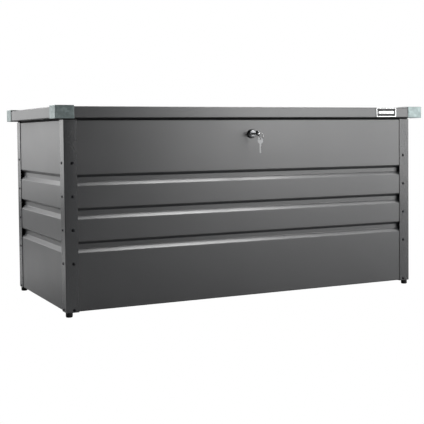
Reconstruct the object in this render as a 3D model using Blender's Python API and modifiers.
"""A steel deck storage box with a hinged lid on two gas struts, a cam lock and its keys.

Metres, +Z up, the front of the box faces -Y.  The origin is at the middle of the
overall box, at the level of the ground.  Folded sheets are open surfaces with a
Solidify modifier, turned pieces are profiles with a Screw modifier, and the pieces
of each moving assembly hang from an empty that stands on the joint's axis.
"""

import math

import bmesh
import bpy
from mathutils import Matrix, Vector

MM = 0.001

# Driving dimensions -----------------------------------------------------------------
POST_SPAN_X = 1264 * MM          # outer faces of the corner posts, left to right
POST_SPAN_Y = 556 * MM           # outer faces of the corner posts, front to back
POST_FLANGE = 40 * MM
POST_SHEET = 1.5 * MM
FOOT_HEIGHT = 14 * MM
FOOT_INSET = 12.5 * MM           # foot's axis behind the posts' faces
FOOT_RADIUS = 10.5 * MM
FOOT_PEG_RADIUS = 4 * MM
BODY_TOP = 588 * MM              # top of the panels and posts
PANEL_SHEET = 1 * MM
GAP = 0.3 * MM                   # left between pieces that touch

GROOVE_TOPS = (425 * MM, 325 * MM, 225 * MM)
GROOVE_HEIGHT = 34 * MM
GROOVE_UPPER_WALL = 8 * MM
GROOVE_LOWER_WALL = 12 * MM
GROOVE_DEPTH = 10 * MM
PANEL_RETURN = 14 * MM           # folded edge along the top and bottom of a panel
PANEL_LIP = 9 * MM               # short fold below the top edge
PANEL_BEND = 3 * MM
LIP_SETBACK = 55 * MM            # ends of the floor's turned-down edges
RAIL_HALF_WIDTH = 14 * MM
RAIL_LOW = 5 * MM                # floor rail's underside above the ground
RAIL_SHEET = 1.2 * MM
RAIL_SETBACK = 70 * MM           # floor rail's ends behind the posts' faces
SEAL_INSET = 2.5 * MM            # lid seal's outer edge behind the posts' faces
SEAL_WIDTH = 8 * MM

LID_SPAN_X = 1327 * MM
LID_FRONT_OVERHANG = 27.5 * MM
LID_BACK_OVERHANG = 5.5 * MM
LID_BOTTOM = 592.5 * MM
LID_HEIGHT = 34.5 * MM
LID_SHEET = 1 * MM
LID_RETURN = 40 * MM             # edge folded in under the lid
LID_BEND = 2.5 * MM
CAP_LEG = 58 * MM
CAP_PROUD = 1.5 * MM             # how far a cap stands out from the rim
CAP_RISE = 3.5 * MM              # how far a cap stands above the lid
CAP_SHEET = 1.2 * MM
CAP_LIP = 9 * MM
RIB_PLACES = {"left": -230 * MM, "right": 230 * MM}
RIB_DEPTH = 16 * MM
RIB_HALF_WIDTHS = (28 * MM, 14 * MM, 12 * MM)   # flange's edge, its root and the crown
BADGE_PLACE = (513 * MM, 18 * MM)               # along the rim and above its lower edge
BADGE_SIZE = (82 * MM, 1.2 * MM, 30 * MM)

HINGE_RADIUS = 4 * MM
HINGE_PIN_RADIUS = 2 * MM
HINGE_LENGTH = 90 * MM
HINGE_SHEET = 1.6 * MM
HINGE_PLACES = {"left": -460 * MM, "middle": 0.0, "right": 460 * MM}
KNUCKLES = 5

STRUT_ARM = 240 * MM             # hinge axis to either strut pivot
STRUT_ANGLE = math.radians(70)   # between the two arms with the lid shut
STRUT_X = 597 * MM
STRUT_TUBE_RADIUS = 9 * MM
STRUT_ROD_RADIUS = 4 * MM
STRUT_TUBE_LENGTH = 222 * MM
STRUT_EYE_RADIUS = 8 * MM
STRUT_EYE_WIDTH = 10 * MM
STRUT_STUD_RADIUS = 4 * MM
STRUT_UPPER_RISE = 10 * MM       # upper pivot above the hinge axis
STRUT_PLATE_LENGTH = 50 * MM     # lower bracket, between two grooves
STRUT_PLATE_HEIGHT = 38 * MM

LOCK_X = -2 * MM
LOCK_Z = 541 * MM
LOCK_TILT = math.radians(20)     # how far the key is turned at rest
LOCK_FACE = 9 * MM               # bezel's height on the panel
LOCK_BEZEL_RADIUS = 14.5 * MM
LOCK_BARREL_RADIUS = 9.5 * MM
LOCK_BARREL_LENGTH = 23 * MM     # behind the panel's outer face
LOCK_PLUG_RADIUS = 6.5 * MM
CAM_LENGTH = 30 * MM
CAM_WIDTH = 12 * MM
CAM_SHEET = 2 * MM
STRIKE_OFFSET = 17 * MM          # strike's near edge left of the lock's axis
STRIKE_WIDTH = 28 * MM
STRIKE_SHEET = 2 * MM

KEY_BOW_RADIUS = 10.5 * MM
KEY_THICKNESS = 2 * MM
KEY_HOLE_RADIUS = 3.2 * MM
KEY_BLADE = 30 * MM
KEY_BLADE_HEIGHT = 7 * MM
KEY_OUT = 16 * MM                # how far the key is drawn out at rest
KEY_SHOULDER = 6 * MM
RING_RADIUS = 10 * MM
RING_WIRE = 0.9 * MM
RING_TILT = math.radians(45)
SPARE_TURN = math.radians(-60)   # turn of the spare key about the vertical

# Places worked out from them ----------------------------------------------------------
FACE_SETBACK = POST_SHEET + GAP  # panel face behind the posts' face
KEY_BOW_OUT = LOCK_FACE + KEY_SHOULDER + KEY_OUT + KEY_BOW_RADIUS
KEY_HOLE_PLACE = KEY_BOW_RADIUS - KEY_HOLE_RADIUS - 2 * MM
SPARE_HALF_DEPTH = (KEY_BOW_RADIUS * abs(math.sin(SPARE_TURN))
                    + KEY_THICKNESS / 2 * abs(math.cos(SPARE_TURN)))
KEY_REACH = KEY_BOW_OUT + KEY_HOLE_PLACE + SPARE_HALF_DEPTH - FACE_SETBACK
HINGE_REACH = LID_BACK_OVERHANG + GAP + 2 * HINGE_RADIUS
DEPTH = KEY_REACH + POST_SPAN_Y + HINGE_REACH
FRONT = -DEPTH / 2 + KEY_REACH   # outer face of the front posts
BACK = FRONT + POST_SPAN_Y
MIDDLE = (FRONT + BACK) / 2
SIDE = POST_SPAN_X / 2
LID_TOP = LID_BOTTOM + LID_HEIGHT
LID_FRONT = FRONT - LID_FRONT_OVERHANG
LID_BACK = BACK + LID_BACK_OVERHANG
LID_SIDE = LID_SPAN_X / 2
HINGE_AXIS = Vector((0, LID_BACK + GAP + HINGE_RADIUS, BODY_TOP + 2 * MM))


# Helpers -------------------------------------------------------------------------------
def clear_scene():
    for obj in list(bpy.data.objects):
        bpy.data.objects.remove(obj, do_unlink=True)


def new_collection(name):
    collection = bpy.data.collections.new(name)
    bpy.context.scene.collection.children.link(collection)
    return collection


def material(name, colour, roughness, metallic):
    mat = bpy.data.materials.new(name)
    mat.use_nodes = True
    shader = mat.node_tree.nodes["Principled BSDF"]
    shader.inputs["Base Color"].default_value = (*colour, 1)
    shader.inputs["Roughness"].default_value = roughness
    shader.inputs["Metallic"].default_value = metallic
    return mat


def add_object(name, bm, mat, smooth=False):
    """Make a named object of the mesh in bm and put it with the box's parts."""
    mesh = bpy.data.meshes.new(name)
    bm.to_mesh(mesh)
    bm.free()
    mesh.materials.append(mat)
    if smooth:
        mesh.shade_smooth()
        mesh.set_sharp_from_angle(angle=math.radians(35))
    obj = bpy.data.objects.new(name, mesh)
    PARTS.objects.link(obj)
    return obj


def block(name, low, high, mat, bevel=0.0):
    """A box between two corners, with its edges rounded by bevel."""
    bm = bmesh.new()
    bmesh.ops.create_cube(bm, size=1)
    size = Vector(high) - Vector(low)
    bmesh.ops.scale(bm, vec=size, verts=bm.verts)
    bmesh.ops.translate(bm, vec=Vector(low) + size / 2, verts=bm.verts)
    obj = add_object(name, bm, mat)
    if bevel:
        round_edges(obj, bevel)
    return obj


def round_edges(obj, width, segments=2):
    modifier = obj.modifiers.new("rounded_edges", "BEVEL")
    modifier.width = width
    modifier.segments = segments
    modifier.limit_method = "ANGLE"
    modifier.angle_limit = math.radians(40)


def thicken(obj, thickness, offset):
    modifier = obj.modifiers.new("sheet", "SOLIDIFY")
    modifier.thickness = thickness
    modifier.offset = offset
    modifier.use_even_offset = True


def with_bends(points, radius, steps=3):
    """Replace each inner corner of an open outline by an arc of the given radius."""
    points = [Vector(p) for p in points]
    result = [points[0]]
    for before, corner, after in zip(points, points[1:], points[2:]):
        into = (before - corner).normalized()
        out = (after - corner).normalized()
        half = into.angle(out) / 2
        reach = radius / math.tan(half)
        centre = corner + (into + out).normalized() * (radius / math.sin(half))
        start = corner + into * reach - centre
        sweep = math.pi - 2 * half
        turn = math.copysign(sweep, start.y * into.x - start.x * into.y)
        for step in range(steps + 1):
            angle = turn * step / steps
            spoke = Matrix.Rotation(angle, 2) @ start
            result.append(centre + spoke)
    result.append(points[-1])
    return result


def folded_sheet(name, outline, length, thickness, mat, offset=1.0):
    """Extrude an outline in local YZ along X, both ways from the middle, and thicken it."""
    bm = bmesh.new()
    row = [bm.verts.new((-length / 2, p[0], p[1])) for p in outline]
    edges = [bm.edges.new(pair) for pair in zip(row, row[1:])]
    swept = bmesh.ops.extrude_edge_only(bm, edges=edges)["geom"]
    moved = [item for item in swept if isinstance(item, bmesh.types.BMVert)]
    bmesh.ops.translate(bm, vec=(length, 0, 0), verts=moved)
    obj = add_object(name, bm, mat, smooth=True)
    thicken(obj, thickness, offset)
    return obj


def turned(name, profile, mat, steps=24):
    """Turn a profile of (radius, height) points, listed from top to bottom."""
    bm = bmesh.new()
    row = [bm.verts.new((radius, 0, height)) for radius, height in profile]
    for pair in zip(row, row[1:]):
        bm.edges.new(pair)
    obj = add_object(name, bm, mat)
    screw = obj.modifiers.new("turned", "SCREW")
    screw.steps = steps
    screw.render_steps = steps
    screw.use_merge_vertices = True
    screw.merge_threshold = 0.00001
    screw.use_smooth_shade = True
    return obj


def cylinder_mesh(radius, start, end, segments):
    bm = bmesh.new()
    start = Vector(start)
    end = Vector(end)
    along = end - start
    bmesh.ops.create_cone(bm, cap_ends=True, segments=segments, radius1=radius,
                          radius2=radius, depth=along.length)
    turn = Vector((0, 0, 1)).rotation_difference(along.normalized()).to_matrix().to_4x4()
    bmesh.ops.transform(bm, matrix=Matrix.Translation((start + end) / 2) @ turn, verts=bm.verts)
    return bm


def rod(name, radius, start, end, mat, segments=16):
    return add_object(name, cylinder_mesh(radius, start, end, segments), mat, smooth=True)


def combine(target, tool, operation):
    """Join a tool to a target, or cut it away, and keep the tool as a hidden cutter."""
    modifier = target.modifiers.new(operation.lower(), "BOOLEAN")
    modifier.operation = operation
    modifier.solver = "EXACT"
    modifier.object = tool
    hang(target, tool)
    PARTS.objects.unlink(tool)
    CUTTERS.objects.link(tool)
    tool.hide_render = True
    tool.display_type = "WIRE"
    return target


def drill(target, radius, start, end, segments=16):
    cutter = rod(target.name + "_cutter", radius, start, end, CUTTER_FINISH, segments)
    return combine(target, cutter, "DIFFERENCE")


def cut_block(target, low, high):
    cutter = block(target.name + "_cutter", low, high, CUTTER_FINISH)
    return combine(target, cutter, "DIFFERENCE")


def joint_empty(name, place):
    empty = bpy.data.objects.new(name, None)
    empty.location = place
    empty.empty_display_size = 30 * MM
    PARTS.objects.link(empty)
    return empty


def hang(parent, *objects):
    """Parent objects to another and leave them where they are."""
    bpy.context.view_layer.update()
    for obj in objects:
        obj.parent = parent
        obj.matrix_parent_inverse = parent.matrix_world.inverted()


# Box -----------------------------------------------------------------------------------
def corner_post(name, x_sign, y_sign):
    """Two flanges and a base that share a corner, which points at x_sign, y_sign."""
    bm = bmesh.new()
    bmesh.ops.create_cube(bm, size=1)
    height = BODY_TOP - FOOT_HEIGHT
    bmesh.ops.scale(bm, vec=(POST_FLANGE, POST_FLANGE, height), verts=bm.verts)
    bmesh.ops.translate(bm, vec=(-POST_FLANGE / 2, -POST_FLANGE / 2, height / 2), verts=bm.verts)
    open_sides = [face for face in bm.faces if face.normal.x < -0.5 or face.normal.y < -0.5
                  or face.normal.z > 0.5]
    bmesh.ops.delete(bm, geom=open_sides, context="FACES")
    bmesh.ops.scale(bm, vec=(x_sign, y_sign, 1), verts=bm.verts)
    if x_sign * y_sign < 0:
        bmesh.ops.reverse_faces(bm, faces=bm.faces)
    post = add_object(name, bm, COATED)
    corner_y = BACK if y_sign > 0 else FRONT
    post.location = (x_sign * SIDE, corner_y, FOOT_HEIGHT)
    round_edges(post, 1.6 * MM)
    thicken(post, POST_SHEET, -1)
    foot_x = x_sign * (SIDE - FOOT_INSET)
    foot_y = corner_y - y_sign * FOOT_INSET
    drill(post, FOOT_PEG_RADIUS + 2 * GAP, (foot_x, foot_y, 0), (foot_x, foot_y, 2 * FOOT_HEIGHT))
    return foot_x, foot_y


def foot(name, x, y):
    top = FOOT_HEIGHT - GAP
    peg = FOOT_HEIGHT + POST_SHEET + 1 * MM
    profile = [(0, peg), (FOOT_PEG_RADIUS, peg), (FOOT_PEG_RADIUS, top), (FOOT_RADIUS, top),
               (FOOT_RADIUS, 4 * MM), (FOOT_RADIUS - 0.7 * MM, 1 * MM),
               (FOOT_RADIUS - 1.7 * MM, 0), (0, 0)]
    obj = turned(name, profile, RUBBER)
    obj.location = (x, y, 0)


def panel_outline():
    """Panel section from the lip under the top edge down to the bottom fold."""
    inner = PANEL_RETURN
    top = BODY_TOP
    points = [(inner, top - PANEL_LIP), (inner, top), (0, top)]
    for groove_top in GROOVE_TOPS:
        groove_bottom = groove_top - GROOVE_HEIGHT
        points += [(0, groove_top), (GROOVE_DEPTH, groove_top - GROOVE_UPPER_WALL),
                   (GROOVE_DEPTH, groove_bottom + GROOVE_LOWER_WALL), (0, groove_bottom)]
    bottom = FOOT_HEIGHT + POST_SHEET + GAP + PANEL_SHEET
    points += [(0, bottom - PANEL_SHEET), (inner, bottom - PANEL_SHEET)]
    return with_bends(points, PANEL_BEND)


def panel(name, length, x, y, turn):
    obj = folded_sheet(name, panel_outline(), length, PANEL_SHEET, COATED, 1)
    obj.location = (x, y, 0)
    obj.rotation_euler = (0, 0, math.radians(turn))
    return obj


def floor_sheet(name, side):
    """Half of the floor: a flat sheet whose joint edge turns down into the rail."""
    top = FOOT_HEIGHT + POST_SHEET + 2 * GAP + 2 * PANEL_SHEET
    clear = FACE_SETBACK + PANEL_SHEET + PANEL_BEND + GAP
    outer = SIDE - clear
    points = [(2 * MM, top - 9 * MM), (2 * MM, top), (outer, top)]
    length = POST_SPAN_Y - 2 * clear
    obj = folded_sheet(name, with_bends(points, 1.5 * MM), length, PANEL_SHEET, COATED, -1)
    obj.location = (0, MIDDLE, 0)
    obj.rotation_euler = (0, 0, -side * math.pi / 2)
    # the turned-down edge stops short of the panels' bottom folds, out of sight
    under = top - PANEL_SHEET - GAP / 2
    for near, far in ((FRONT, FRONT + LIP_SETBACK), (BACK - LIP_SETBACK, BACK)):
        cut_block(obj, (-6 * MM, near, 0), (6 * MM, far, under))
    return obj


def floor_rail():
    top = FOOT_HEIGHT + POST_SHEET
    points = [(-RAIL_HALF_WIDTH, top), (-RAIL_HALF_WIDTH, RAIL_LOW),
              (RAIL_HALF_WIDTH, RAIL_LOW), (RAIL_HALF_WIDTH, top)]
    length = POST_SPAN_Y - 2 * RAIL_SETBACK
    section = with_bends(points, 2 * MM)
    rail = folded_sheet("floor_rail", section, length, RAIL_SHEET, GALVANISED, -1)
    rail.location = (0, MIDDLE, 0)
    rail.rotation_euler = (0, 0, math.pi / 2)


def lid_seals():
    """Rubber strips along the top of the body that the shut lid rests on."""
    low = BODY_TOP + GAP
    high = LID_BOTTOM - GAP
    outer_x = SIDE - SEAL_INSET
    outer_y = (FRONT + SEAL_INSET, BACK - SEAL_INSET)
    for name, near, far in (("front", outer_y[0], outer_y[0] + SEAL_WIDTH),
                            ("rear", outer_y[1] - SEAL_WIDTH, outer_y[1])):
        block(f"lid_seal_{name}", (-outer_x, near, low), (outer_x, far, high), RUBBER, 0.6 * MM)
    side_low = outer_y[0] + SEAL_WIDTH + GAP
    side_high = outer_y[1] - SEAL_WIDTH - GAP
    for name, near, far in (("left", -outer_x, -outer_x + SEAL_WIDTH),
                            ("right", outer_x - SEAL_WIDTH, outer_x)):
        block(f"lid_seal_{name}", (near, side_low, low), (far, side_high, high), RUBBER, 0.6 * MM)


def box_body():
    for y_name, y_sign in (("front", -1), ("rear", 1)):
        for x_name, x_sign in (("left", -1), ("right", 1)):
            x, y = corner_post(f"post_{y_name}_{x_name}", x_sign, y_sign)
            foot(f"foot_{y_name}_{x_name}", x, y)
    inside = FACE_SETBACK + PANEL_RETURN + PANEL_SHEET + GAP
    long_panel = POST_SPAN_X - 2 * inside
    short_panel = POST_SPAN_Y - 2 * inside
    front = panel("panel_front", long_panel, 0, FRONT + FACE_SETBACK, 0)
    panel("panel_rear", long_panel, 0, BACK - FACE_SETBACK, 180)
    panel("panel_left", short_panel, -SIDE + FACE_SETBACK, MIDDLE, -90)
    panel("panel_right", short_panel, SIDE - FACE_SETBACK, MIDDLE, 90)
    drill(front, LOCK_BARREL_RADIUS + 0.5 * MM, (LOCK_X, FRONT - 5 * MM, LOCK_Z),
          (LOCK_X, FRONT + 10 * MM, LOCK_Z), 32)
    floor_sheet("floor_left", -1)
    floor_sheet("floor_right", 1)
    floor_rail()
    lid_seals()


# Lid -----------------------------------------------------------------------------------
def lid_sheet():
    bm = bmesh.new()
    bmesh.ops.create_cube(bm, size=1)
    size = Vector((LID_SPAN_X, LID_BACK - LID_FRONT, LID_HEIGHT))
    bmesh.ops.scale(bm, vec=size, verts=bm.verts)
    centre = Vector((0, (LID_FRONT + LID_BACK) / 2, (LID_BOTTOM + LID_TOP) / 2))
    bmesh.ops.translate(bm, vec=centre, verts=bm.verts)
    under = [face for face in bm.faces if face.normal.z < -0.5]
    bmesh.ops.inset_region(bm, faces=under, thickness=LID_RETURN)
    bmesh.ops.delete(bm, geom=under, context="FACES")
    lid = add_object("lid_sheet", bm, COATED, smooth=True)
    round_edges(lid, LID_BEND, 3)
    thicken(lid, LID_SHEET, -1)
    return lid


def corner_cap(name, x_sign, y_sign):
    """A folded corner: top, two walls and a lip under the rim, hollow where the lid goes."""
    outer_x = x_sign * (LID_SIDE + CAP_PROUD)
    outer_y = (LID_BACK if y_sign > 0 else LID_FRONT) + y_sign * CAP_PROUD
    low_z = LID_BOTTOM - CAP_PROUD
    high_z = LID_TOP + CAP_RISE
    inner = (outer_x - x_sign * CAP_LEG, outer_y - y_sign * CAP_LEG)
    low = (min(outer_x, inner[0]), min(outer_y, inner[1]), low_z)
    high = (max(outer_x, inner[0]), max(outer_y, inner[1]), high_z)
    cap = block(name, low, high, GALVANISED, 0.8 * MM)
    past = 20 * MM
    wall_x = outer_x - x_sign * CAP_SHEET
    wall_y = outer_y - y_sign * CAP_SHEET
    far = (inner[0] - x_sign * past, inner[1] - y_sign * past)
    cut_block(cap, (min(wall_x, far[0]), min(wall_y, far[1]), low_z + CAP_SHEET),
              (max(wall_x, far[0]), max(wall_y, far[1]), high_z - CAP_SHEET))
    lip_x = outer_x - x_sign * CAP_LIP
    lip_y = outer_y - y_sign * CAP_LIP
    cut_block(cap, (min(lip_x, far[0]), min(lip_y, far[1]), low_z - past),
              (max(lip_x, far[0]), max(lip_y, far[1]), LID_BOTTOM))
    return cap


def lid_rib(name, x):
    """A hat-section rib under the lid's sheet, from front to back."""
    top = LID_TOP - LID_SHEET - GAP
    low = top - RIB_DEPTH
    edge, root, crown = RIB_HALF_WIDTHS
    points = [(-edge, top), (-root, top), (-crown, low), (crown, low), (root, top), (edge, top)]
    length = LID_BACK - LID_FRONT - 2 * (LID_SHEET + 4 * MM)
    rib = folded_sheet(name, with_bends(points, 1.5 * MM), length, 1 * MM, COATED, -1)
    rib.location = (x, (LID_FRONT + LID_BACK) / 2, 0)
    rib.rotation_euler = (0, 0, math.pi / 2)
    return rib


def lock_strike():
    """A bracket on the lid's front edge that hangs down beside the lock and hooks the cam."""
    foot_z = LID_BOTTOM + LID_SHEET + GAP
    plate_y = FRONT + FACE_SETBACK + LOCK_BARREL_LENGTH + 7 * MM
    hook_z = LOCK_Z - CAM_WIDTH / 2 - 1.5 * MM
    points = [(LID_FRONT + 12 * MM, foot_z), (plate_y, foot_z), (plate_y, hook_z),
              (plate_y - 9 * MM, hook_z)]
    strike = folded_sheet("lock_strike", with_bends(points, 2.5 * MM), STRIKE_WIDTH,
                          STRIKE_SHEET, GALVANISED, 1)
    strike.location.x = LOCK_X - STRIKE_OFFSET - STRIKE_WIDTH / 2
    return strike


def badge():
    face = LID_FRONT - GAP
    middle = Vector((BADGE_PLACE[0], face - BADGE_SIZE[1] / 2, LID_BOTTOM + BADGE_PLACE[1]))
    low = middle - Vector(BADGE_SIZE) / 2
    high = middle + Vector(BADGE_SIZE) / 2
    return block("badge_plate", low, high, BLACK, 0.4 * MM)


# Hinges --------------------------------------------------------------------------------
def hinge_leaf(name, x, outline, knuckles, side):
    """A folded leaf with rolled knuckles at the places listed, bored for the pin."""
    leaf = folded_sheet(name, outline, HINGE_LENGTH, HINGE_SHEET, GALVANISED, side)
    leaf.location.x = x
    pitch = HINGE_LENGTH / KNUCKLES
    for place in range(KNUCKLES):
        start = x - HINGE_LENGTH / 2 + place * pitch
        low = Vector((start, HINGE_AXIS.y, HINGE_AXIS.z))
        if place in knuckles:
            tube = rod(name + "_knuckle", HINGE_RADIUS, low + Vector((GAP, 0, 0)),
                       low + Vector((pitch - GAP, 0, 0)), GALVANISED)
            combine(leaf, tube, "UNION")
        else:
            reach = HINGE_RADIUS + GAP
            cut_block(leaf, low - Vector((GAP, reach, reach)),
                      low + Vector((pitch + GAP, reach, reach)))
    bore = HINGE_PIN_RADIUS + GAP
    ends = Vector((HINGE_LENGTH, 0, 0))
    centre = Vector((x, HINGE_AXIS.y, HINGE_AXIS.z))
    drill(leaf, bore, centre - ends, centre + ends)
    return leaf


def hinge(place, x, lid_pivot):
    y = HINGE_AXIS.y
    z = HINGE_AXIS.z
    back_face = BACK - FACE_SETBACK + GAP
    # the leaf steps out from the rear panel to the pin, which stands behind the rim
    lower = [(back_face, z - 52 * MM), (back_face, z - 22 * MM), (y - 2 * MM, z - 8 * MM),
             (y - 2 * MM, z - 2.6 * MM)]
    hinge_leaf(f"hinge_{place}_box_leaf", x, with_bends(lower, 2 * MM), (0, 2, 4), -1)
    rim_face = LID_BACK + GAP
    upper = [(rim_face, z + 2.2 * MM), (rim_face, z + 34 * MM)]
    leaf = hinge_leaf(f"hinge_{place}_lid_leaf", x, upper, (1, 3), -1)
    half = Vector((HINGE_LENGTH / 2, 0, 0))
    centre = Vector((x, y, z))
    rod(f"hinge_{place}_pin", HINGE_PIN_RADIUS, centre - half, centre + half, STEEL)
    hang(lid_pivot, leaf)


# Gas struts ------------------------------------------------------------------------------
def strut_places():
    """Lower and upper pivot, both at the same distance from the hinge axis."""
    rise = math.asin(STRUT_UPPER_RISE / STRUT_ARM)
    drop = STRUT_ANGLE - rise
    upper = Vector((0, -math.cos(rise), math.sin(rise))) * STRUT_ARM
    lower = Vector((0, -math.cos(drop), -math.sin(drop))) * STRUT_ARM
    return HINGE_AXIS + lower, HINGE_AXIS + upper


def eye_fitting(target, height):
    """Join a bored eye to a strut piece that stands along Z, at the height given."""
    half = Vector((STRUT_EYE_WIDTH / 2, 0, 0))
    place = Vector((0, 0, height))
    eye = rod(target.name + "_eye", STRUT_EYE_RADIUS, place - half, place + half, BLACK)
    combine(target, eye, "UNION")
    drill(target, STRUT_STUD_RADIUS + GAP, place - 2 * half, place + 2 * half)


def strut(side_name, side, lid_pivot):
    lower, upper = strut_places()
    x = side * STRUT_X
    along = (upper - lower).normalized()
    span = (upper - lower).length
    tube_empty = joint_empty(f"strut_{side_name}_lower_pivot", (x, lower.y, lower.z))
    rod_empty = joint_empty(f"strut_{side_name}_upper_pivot", (x, upper.y, upper.z))
    lean = Vector((0, 0, 1)).rotation_difference(along).to_euler()

    start = 6 * MM
    bore = STRUT_TUBE_RADIUS - 1 * MM
    neck = STRUT_ROD_RADIUS + 0.4 * MM
    end = start + STRUT_TUBE_LENGTH
    floor = start + 12 * MM
    # up the bore and through the neck, then down the outside to the eye's stem
    profile = [(0, floor), (bore, floor), (bore, end - 6 * MM), (neck, end - 6 * MM),
               (neck, end), (STRUT_TUBE_RADIUS - 1.5 * MM, end),
               (STRUT_TUBE_RADIUS, end - 1.5 * MM), (STRUT_TUBE_RADIUS, start + 8 * MM),
               (5 * MM, start + 5 * MM), (5 * MM, start), (0, start)]
    tube = turned(f"strut_{side_name}_tube", profile, BLACK)
    eye_fitting(tube, 0)

    piston = rod(f"strut_{side_name}_rod", STRUT_ROD_RADIUS, (0, 0, start + 18 * MM),
                 (0, 0, span - 4 * MM), CHROME)
    eye_fitting(piston, span)
    for piece in (tube, piston):
        piece.location = (x, lower.y, lower.z)
        piece.rotation_euler = lean
    hang(tube_empty, tube)
    hang(rod_empty, piston)
    hang(lid_pivot, rod_empty)

    inner_x = side * (STRUT_X - STRUT_EYE_WIDTH / 2 - 3 * MM)
    wall = side * (SIDE - FACE_SETBACK - PANEL_SHEET - GAP)
    plate_x = wall - side * 2 * MM
    half_y = STRUT_PLATE_LENGTH / 2
    half_z = STRUT_PLATE_HEIGHT / 2
    low = (min(wall, plate_x), lower.y - half_y, lower.z - half_z)
    high = (max(wall, plate_x), lower.y + half_y, lower.z + half_z)
    bracket = block(f"strut_{side_name}_box_bracket", low, high, GALVANISED)
    add_stud(bracket, plate_x, inner_x, lower, side)

    plate_x = side * (STRUT_X + STRUT_EYE_WIDTH / 2 + 3 * MM)
    top = LID_TOP - LID_SHEET - GAP
    low = (min(plate_x, plate_x + side * 2 * MM), upper.y - 20 * MM, upper.z - 7 * MM)
    high = (max(plate_x, plate_x + side * 2 * MM), upper.y + 20 * MM, top)
    hanger = block(f"strut_{side_name}_lid_bracket", low, high, GALVANISED)
    foot_low = (min(plate_x, plate_x - side * 24 * MM), upper.y - 20 * MM, top - 2 * MM)
    foot_high = (max(plate_x, plate_x - side * 24 * MM) + (2 * MM if side > 0 else 0),
                 upper.y + 20 * MM, top)
    combine(hanger, block(hanger.name + "_foot", foot_low, foot_high, GALVANISED), "UNION")
    add_stud(hanger, plate_x, inner_x, upper, side)
    hang(lid_pivot, hanger)


def add_stud(bracket, plate_x, end_x, centre, side):
    """Join the stud that carries a strut's eye, with a flat head at its end."""
    root = Vector((plate_x + side * 1 * MM, centre.y, centre.z))
    tip = Vector((end_x, centre.y, centre.z))
    stud = rod(bracket.name + "_stud", STRUT_STUD_RADIUS, root, tip, STEEL)
    combine(bracket, stud, "UNION")
    head_end = tip - Vector((side * 2 * MM, 0, 0))
    head_root = tip + Vector((side * 1.2 * MM, 0, 0))
    head = rod(bracket.name + "_stud_head", STRUT_STUD_RADIUS + 1.6 * MM, head_root, head_end, STEEL)
    combine(bracket, head, "UNION")


# Lock and keys ---------------------------------------------------------------------------
def lock_frame(out):
    """Local Z points out of the panel and local -X along the cam, turned by the key's tilt."""
    axes = Matrix(((math.sin(LOCK_TILT), math.cos(LOCK_TILT), 0), (0, 0, -1),
                   (-math.cos(LOCK_TILT), math.sin(LOCK_TILT), 0)))
    place = Vector((LOCK_X, FRONT + FACE_SETBACK - out, LOCK_Z))
    return Matrix.Translation(place) @ axes.to_4x4()


def lock_body():
    """Bezel and threaded barrel in one, bored for the plug, and the nut behind the panel."""
    bore = LOCK_PLUG_RADIUS + GAP
    rear = -LOCK_BARREL_LENGTH
    profile = [(bore, LOCK_FACE), (LOCK_BEZEL_RADIUS - 5 * MM, LOCK_FACE),
               (LOCK_BEZEL_RADIUS - 1.6 * MM, LOCK_FACE - 2.2 * MM),
               (LOCK_BEZEL_RADIUS, LOCK_FACE - 5 * MM), (LOCK_BEZEL_RADIUS, GAP),
               (LOCK_BARREL_RADIUS, GAP), (LOCK_BARREL_RADIUS, rear), (bore, rear),
               (bore, LOCK_FACE)]
    body = turned("lock_body", profile, CHROME, steps=32)
    body.matrix_world = lock_frame(0)
    bore = LOCK_BARREL_RADIUS + GAP
    near = -PANEL_SHEET - GAP
    far = near - 5 * MM
    profile = [(bore, near), (14 * MM, near), (14 * MM, far), (bore, far), (bore, near)]
    nut = turned("lock_nut", profile, STEEL, steps=24)
    nut.matrix_world = lock_frame(0)


def key_mesh(name):
    """A flat key in local XZ: round bow, blade along -Z and the ring's hole at +Z."""
    half = KEY_THICKNESS / 2
    bow = rod(name, KEY_BOW_RADIUS, (0, -half, 0), (0, half, 0), CHROME, 32)
    overlap = KEY_BOW_RADIUS - 2 * MM
    tip = -KEY_BOW_RADIUS - KEY_BLADE
    blade = block(name + "_blade", (-KEY_BLADE_HEIGHT / 2, -0.8 * MM, tip),
                  (KEY_BLADE_HEIGHT / 2, 0.8 * MM, -overlap), CHROME, 0.3 * MM)
    combine(bow, blade, "UNION")
    drill(bow, KEY_HOLE_RADIUS, (0, -5 * MM, KEY_HOLE_PLACE), (0, 5 * MM, KEY_HOLE_PLACE))
    return bow


def lock_plug():
    """The plug turns with the key and carries the cam on its rear end."""
    rear = -LOCK_BARREL_LENGTH - GAP
    plug = rod("lock_plug", LOCK_PLUG_RADIUS, (0, 0, rear), (0, 0, LOCK_FACE), CHROME, 32)
    slot_half = KEY_BLADE_HEIGHT / 2 + 0.6 * MM
    cut_block(plug, (-slot_half, -1.2 * MM, rear + 3 * MM),
              (slot_half, 1.2 * MM, LOCK_FACE + 5 * MM))
    cam_top = rear - GAP
    cam_low = cam_top - CAM_SHEET
    cam = block("lock_cam", (-CAM_LENGTH, -CAM_WIDTH / 2, cam_low),
                (CAM_WIDTH / 2, CAM_WIDTH / 2, cam_top), STEEL)
    drill(cam, 2.5 * MM, (0, 0, cam_low - 5 * MM), (0, 0, cam_top + 5 * MM))
    shank = 2.1 * MM
    head = cam_low - GAP
    profile = [(0, cam_top), (shank, cam_top), (shank, head), (4.2 * MM, head),
               (4.2 * MM, head - 2 * MM), (3.2 * MM, head - 3 * MM), (0, head - 3 * MM)]
    screw = turned("lock_cam_screw", profile, STEEL, steps=16)
    pivot = joint_empty("lock_pivot", lock_frame(0).translation)
    for obj in (plug, cam, screw):
        obj.matrix_world = lock_frame(0)
    hang(pivot, plug, cam, screw)
    return pivot


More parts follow.
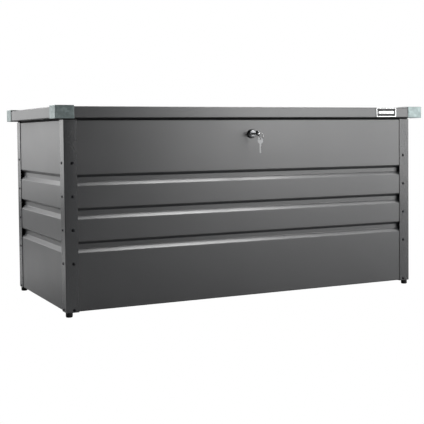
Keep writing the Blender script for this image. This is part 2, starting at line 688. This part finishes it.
def keys(lock_pivot):
    key = key_mesh("lock_key")
    key.matrix_world = lock_frame(KEY_BOW_OUT)
    key_empty = joint_empty("key_slide", lock_frame(KEY_BOW_OUT).translation)
    hang(key_empty, key)
    hang(lock_pivot, key_empty)

    hole = lock_frame(KEY_BOW_OUT + KEY_HOLE_PLACE).translation
    centre = hole + Vector((math.sin(RING_TILT), 0, -math.cos(RING_TILT))) * RING_RADIUS
    bpy.ops.mesh.primitive_torus_add(major_radius=RING_RADIUS, minor_radius=RING_WIRE,
                                     major_segments=28, minor_segments=8)
    ring = bpy.context.object
    ring.name = "key_ring"
    ring.data.name = "key_ring"
    ring.data.materials.append(CHROME)
    ring.data.shade_smooth()
    for collection in list(ring.users_collection):
        collection.objects.unlink(ring)
    PARTS.objects.link(ring)
    ring.location = centre
    ring.rotation_euler = (math.pi / 2, 0, 0)
    ring_empty = joint_empty("key_ring_pivot", hole)
    hang(ring_empty, ring)
    hang(key_empty, ring_empty)

    spare = key_mesh("spare_key")
    bottom = centre - Vector((0, 0, RING_RADIUS))
    spare.location = bottom - Vector((0, 0, KEY_HOLE_PLACE))
    spare.rotation_euler = (0, 0, SPARE_TURN)
    spare_empty = joint_empty("spare_key_pivot", bottom)
    hang(spare_empty, spare)
    hang(ring_empty, spare_empty)


# Build -----------------------------------------------------------------------------------
clear_scene()
PARTS = new_collection("deck_storage_box")
CUTTERS = new_collection("cutters")
COATED = material("powder_coated_steel", (0.055, 0.057, 0.060), 0.4, 0.0)
GALVANISED = material("galvanised_steel", (0.52, 0.56, 0.57), 0.35, 1.0)
STEEL = material("zinc_plated_steel", (0.60, 0.60, 0.58), 0.3, 1.0)
CHROME = material("chrome", (0.75, 0.75, 0.76), 0.12, 1.0)
BLACK = material("black_enamel", (0.012, 0.012, 0.013), 0.35, 0.0)
RUBBER = material("black_rubber", (0.015, 0.015, 0.015), 0.8, 0.0)
CUTTER_FINISH = material("cutter", (1, 0, 0), 0.5, 0.0)

box_body()
LID_PIVOT = joint_empty("lid_pivot", HINGE_AXIS)
lid_parts = [lid_sheet(), lock_strike(), badge()]
for rib_name, rib_x in RIB_PLACES.items():
    lid_parts.append(lid_rib(f"lid_rib_{rib_name}", rib_x))
for cap_y_name, cap_y in (("front", -1), ("rear", 1)):
    for cap_x_name, cap_x in (("left", -1), ("right", 1)):
        lid_parts.append(corner_cap(f"lid_corner_{cap_y_name}_{cap_x_name}", cap_x, cap_y))
hang(LID_PIVOT, *lid_parts)
for hinge_place, hinge_x in HINGE_PLACES.items():
    hinge(hinge_place, hinge_x, LID_PIVOT)
strut("left", -1, LID_PIVOT)
strut("right", 1, LID_PIVOT)
lock_body()
keys(lock_plug())
